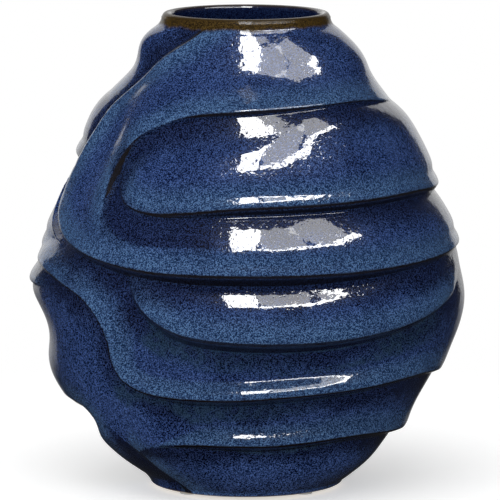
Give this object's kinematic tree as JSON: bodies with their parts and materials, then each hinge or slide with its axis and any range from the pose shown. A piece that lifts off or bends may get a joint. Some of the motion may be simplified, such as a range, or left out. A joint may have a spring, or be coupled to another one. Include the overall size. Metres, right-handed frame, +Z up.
{
  "type": "flower vase",
  "caption": "Squat round flower vase with a narrow round mouth and deep wave-like folds winding round its wall, on small rubber foot pads.",
  "frame": {"origin": "on the surface the vase stands on, under the middle of its outline", "axes": "+Z up out of the mouth, -Y towards the side with the long tongue-shaped fold"},
  "size_m": [0.1972, 0.1939, 0.215],
  "materials": {
    "glaze": "glossy",
    "pad": "matte"
  },
  "bodies": {
    "root": {"vase_body": "glaze", "foot_pad_1": "pad", "foot_pad_2": "pad", "foot_pad_3": "pad", "foot_pad_4": "pad"}
  },
  "joints": []
}
